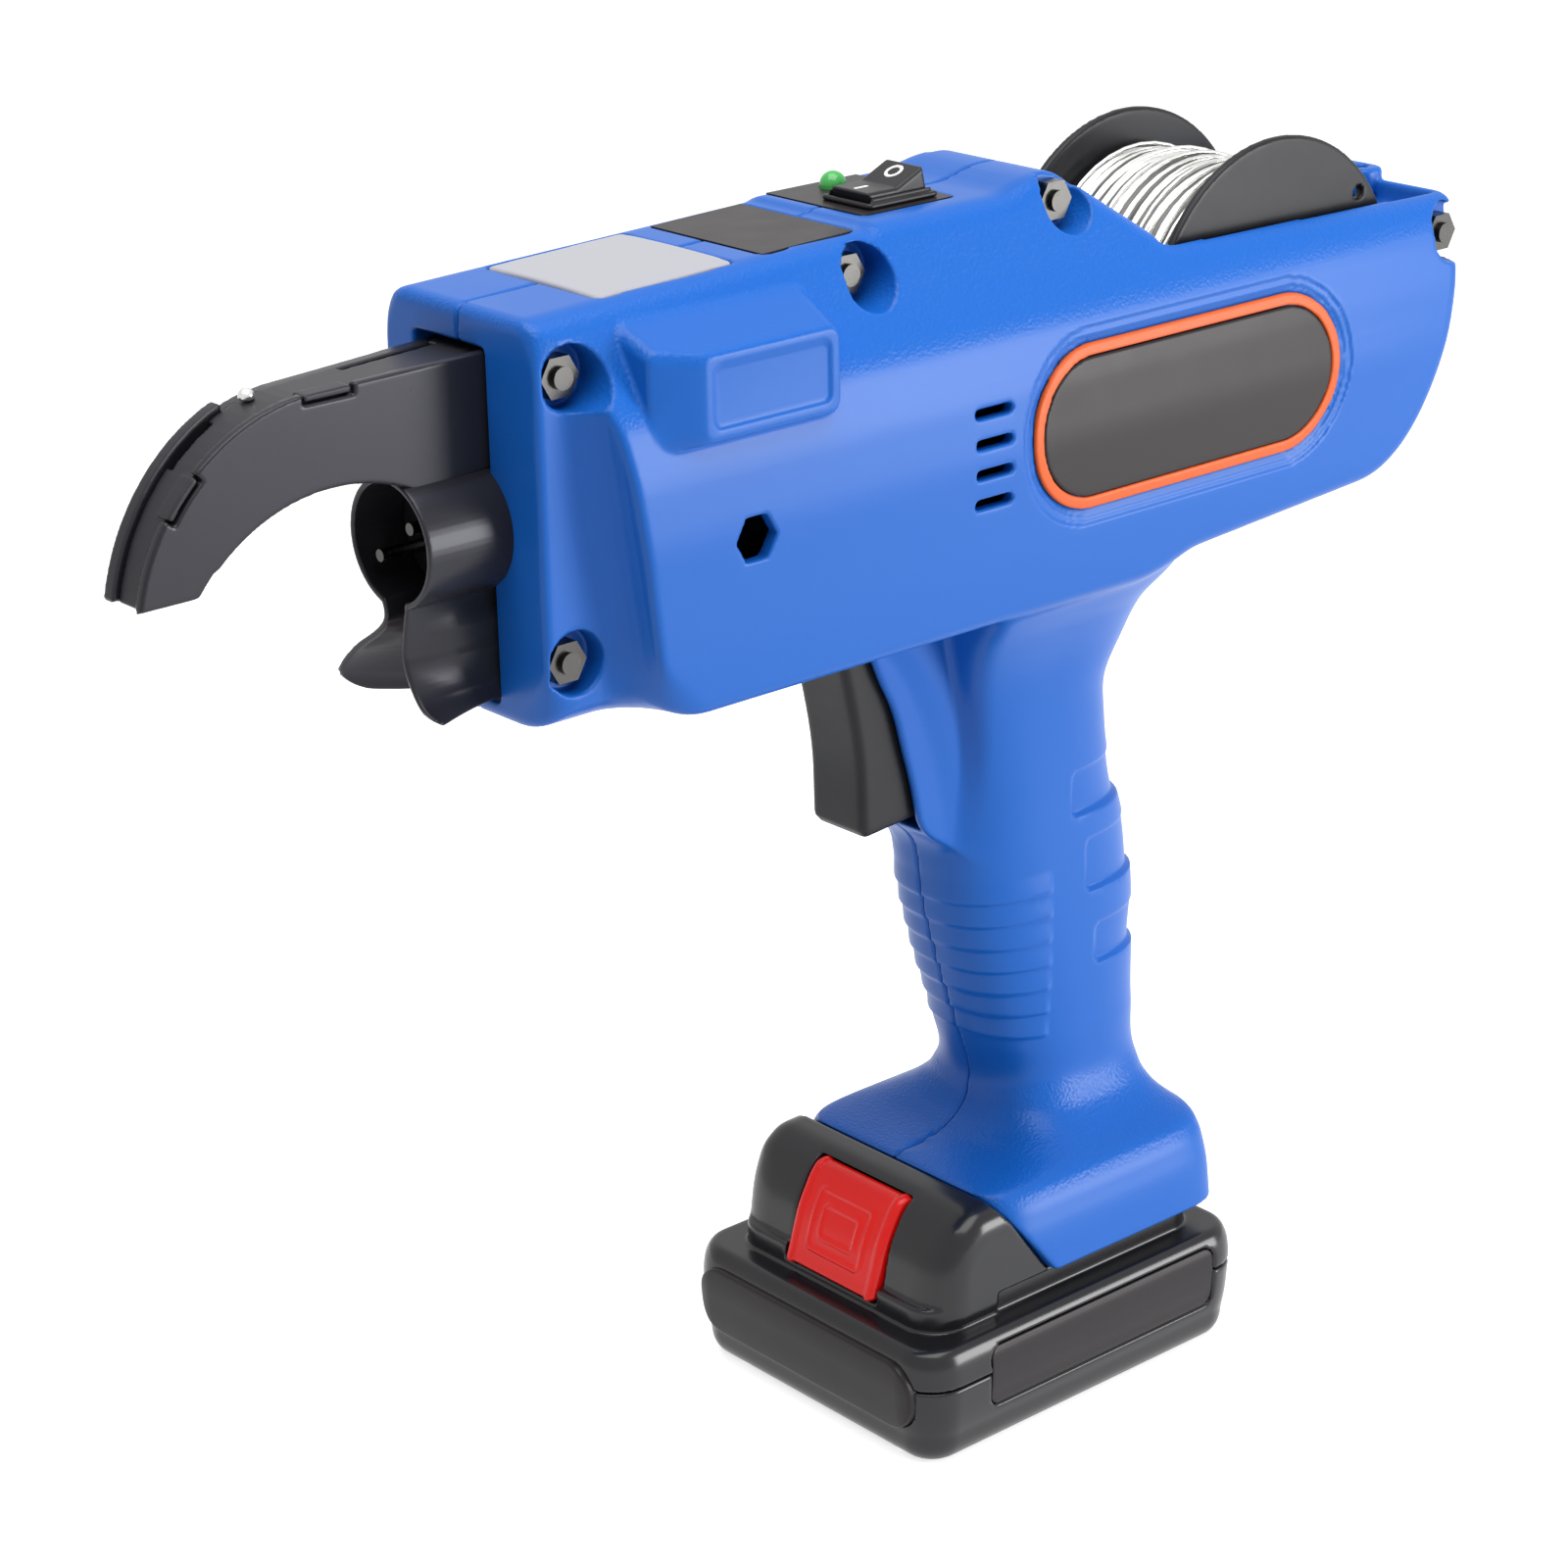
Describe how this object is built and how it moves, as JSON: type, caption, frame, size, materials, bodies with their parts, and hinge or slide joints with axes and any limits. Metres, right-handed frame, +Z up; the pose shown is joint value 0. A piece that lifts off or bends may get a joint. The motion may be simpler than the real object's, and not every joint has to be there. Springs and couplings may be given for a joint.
{
  "type": "rebar tying tool",
  "caption": "Cordless tool that feeds, curls, cuts and twists tie wire round crossing bars: pistol grip, curled jaw, open wire spool bay and slide-on battery foot.",
  "frame": {"origin": "middle of the flat bottom of the battery, on which the tool stands", "axes": "+X from the jaw to the spool at the rear, +Y to the user's right, +Z up"},
  "size_m": [0.295, 0.0734, 0.2488],
  "materials": {
    "housing_blue": "satin",
    "jaw_steel": "satin black finish",
    "core_steel": "matt black finish",
    "bright_steel": "ground",
    "frame_alloy": "as cast",
    "motor_can": "plated",
    "spool_black": "moulded",
    "tie_wire": "drawn",
    "circuit_board": "solder mask",
    "black_plastic": "moulded",
    "window_grey": "polished",
    "label_black": "film",
    "lamp_green": "polished",
    "switch_black": "moulded",
    "badge_orange": "film",
    "trigger_black": "moulded",
    "spring_steel": "drawn",
    "contact_brass": "plated",
    "lead_rubber": "insulation",
    "battery_black": "moulded",
    "cell_wrap": "shrink film",
    "latch_red": "moulded"
  },
  "bodies": {
    "tool": {"left_housing": "housing_blue", "right_housing": "housing_blue", "jaw_near_plate": "jaw_steel", "jaw_far_plate": "jaw_steel", "lower_guide": "jaw_steel", "spool_axle": "jaw_steel", "jaw_core": "core_steel", "wire_cutter": "bright_steel", "front_bearing": "bright_steel", "rear_bearing": "bright_steel", "roller_pin": "bright_steel", "wire_guide_tube": "bright_steel", "case_screws": "bright_steel", "case_nuts": "bright_steel", "handle_screws": "bright_steel", "drive_frame": "frame_alloy", "feed_bracket": "frame_alloy", "twist_motor": "motor_can", "feed_motor": "motor_can", "control_board": "circuit_board", "board_parts": "black_plastic", "trigger_switch": "black_plastic", "terminal_block": "black_plastic", "window": "window_grey", "top_label": "label_black", "switch_panel": "label_black", "left_badge": "label_black", "right_badge": "label_black", "indicator_lamp": "lamp_green", "rocker_bezel": "switch_black", "left_badge_border": "badge_orange", "right_badge_border": "badge_orange", "trigger_spring": "spring_steel", "terminal_blades": "contact_brass", "power_leads": "lead_rubber"},
    "spool": {"wire_spool": "spool_black", "wire_core": "tie_wire", "wire_winding": "tie_wire"},
    "twister": {"twist_head": "jaw_steel", "twist_pins": "bright_steel", "twist_shaft": "bright_steel", "twist_gear": "bright_steel"},
    "pinion": {"motor_pinion": "bright_steel"},
    "feed_wheel": {"feed_roller": "bright_steel"},
    "pressure_wheel": {"pressure_roller": "bright_steel"},
    "trigger": {"trigger": "trigger_black"},
    "rocker": {"rocker": "switch_black"},
    "battery": {"battery_upper_case": "battery_black", "battery_lower_case": "battery_black", "battery_cells": "cell_wrap", "cell_holder": "black_plastic", "battery_board": "circuit_board", "battery_contacts": "contact_brass", "latch_spring": "spring_steel", "battery_front_plate": "label_black", "battery_side_labels": "label_black", "battery_screws": "bright_steel"},
    "latch": {"battery_latch": "latch_red"}
  },
  "joints": [
    {"name": "spool_spin", "type": "hinge", "parent": "tool", "child": "spool", "pos_m": [0.06425, 0, 0.21], "axis": [0, 1, 0], "continuous": true},
    {"name": "twister_spin", "type": "hinge", "parent": "tool", "child": "twister", "pos_m": [-0.1, -0.0018, 0.202], "axis": [1, 0, 0], "continuous": true},
    {"name": "pinion_spin", "type": "hinge", "parent": "tool", "child": "pinion", "pos_m": [-0.1, -0.0018, 0.187], "axis": [1, 0, 0], "continuous": true},
    {"name": "feed_spin", "type": "hinge", "parent": "tool", "child": "feed_wheel", "pos_m": [-0.072, 0.0027, 0.2171], "axis": [0, 1, 0], "continuous": true},
    {"name": "pressure_spin", "type": "hinge", "parent": "tool", "child": "pressure_wheel", "pos_m": [-0.072, 0.0027, 0.2299], "axis": [0, 1, 0], "continuous": true},
    {"name": "trigger_press", "type": "slide", "parent": "tool", "child": "trigger", "axis": [1, 0, 0], "range_m": [0, 0.006], "stiffness_N_per_m": 400, "springref_m": -0.004, "deforming": ["trigger_spring"]},
    {"name": "rocker_tip", "type": "hinge", "parent": "tool", "child": "rocker", "pos_m": [-0.022, -0.0027, 0.2442], "axis": [0, 1, 0], "range_deg": [0, 24]},
    {"name": "battery_slide", "type": "slide", "parent": "tool", "child": "battery", "axis": [-1, 0, 0], "range_m": [0, 0.09]},
    {"name": "latch_press", "type": "slide", "parent": "battery", "child": "latch", "axis": [1, 0, 0], "range_m": [0, 0.0025], "stiffness_N_per_m": 800, "springref_m": -0.003, "deforming": ["latch_spring"]}
  ],
  "couplings": [
    {"joint": "pinion_spin", "follows": "twister_spin", "ratio": -1.5},
    {"joint": "pressure_spin", "follows": "feed_spin", "ratio": -1.4}
  ]
}
